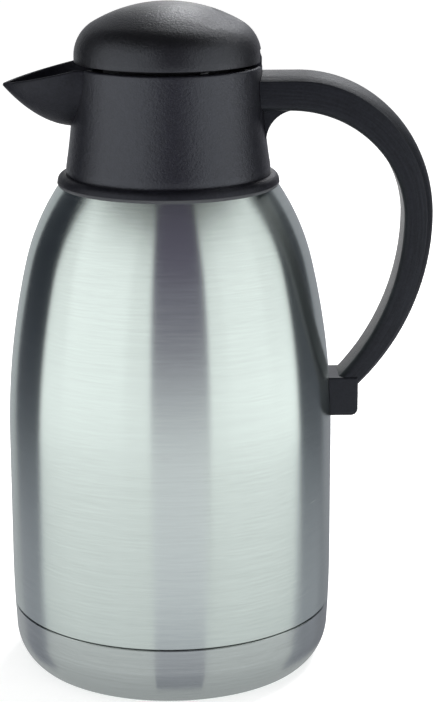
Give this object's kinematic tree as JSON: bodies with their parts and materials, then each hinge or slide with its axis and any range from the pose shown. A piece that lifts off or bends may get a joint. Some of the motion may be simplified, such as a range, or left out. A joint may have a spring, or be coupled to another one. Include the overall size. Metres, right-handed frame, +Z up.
{
  "type": "vacuum carafe",
  "caption": "Steel vacuum carafe with black collar, pouring spout, curved handle and hinged dome lid that carries a stopper.",
  "frame": {"origin": "on the body's axis, in the plane the base stands on", "axes": "+Z up along the body's axis, +X towards the handle, -X towards the spout, the picture's viewer on the -Y side"},
  "size_m": [0.1828, 0.14, 0.2872],
  "materials": {
    "body_steel": "brushed around the axis",
    "base_steel": "brushed around the axis, slightly darker",
    "inner_steel": "satin",
    "dark_steel": "plain",
    "collar_plastic": "fine matt texture",
    "dome_plastic": "fine matt texture",
    "handle_plastic": "fine matt texture with faint streaks along the grip",
    "inner_plastic": "plain moulded",
    "seal_rubber": "soft",
    "gasket_rubber": "soft",
    "foam": "foam"
  },
  "bodies": {
    "carafe": {"outer_shell": "body_steel", "shell_shoulder": "body_steel", "neck_tube": "inner_steel", "base_cap": "base_steel", "vacuum_bottom": "inner_steel", "vent_seal": "dark_steel", "getter": "dark_steel", "inner_bottle": "inner_steel", "inner_shoulder": "inner_steel", "bottle_neck": "inner_steel", "inner_bottom": "inner_steel", "neck_ring": "inner_plastic", "mouth_seal": "seal_rubber", "collar_gasket": "gasket_rubber", "collar": "collar_plastic", "pour_insert": "inner_plastic", "handle": "handle_plastic", "handle_top_screws": "dark_steel", "handle_bracket": "dark_steel", "lug_screw": "dark_steel", "lug_cap": "handle_plastic", "hinge_pin": "dark_steel"},
    "lid": {"dome_cover": "dome_plastic", "lid_plate": "inner_plastic", "lid_foam": "foam", "stopper": "inner_plastic", "stopper_seal": "seal_rubber", "lid_screws": "dark_steel"}
  },
  "joints": [
    {"name": "lid_hinge", "type": "hinge", "parent": "carafe", "child": "lid", "pos_m": [0.0367, 0, 0.2641], "axis": [0, 1, 0], "range_deg": [0, 95]}
  ]
}
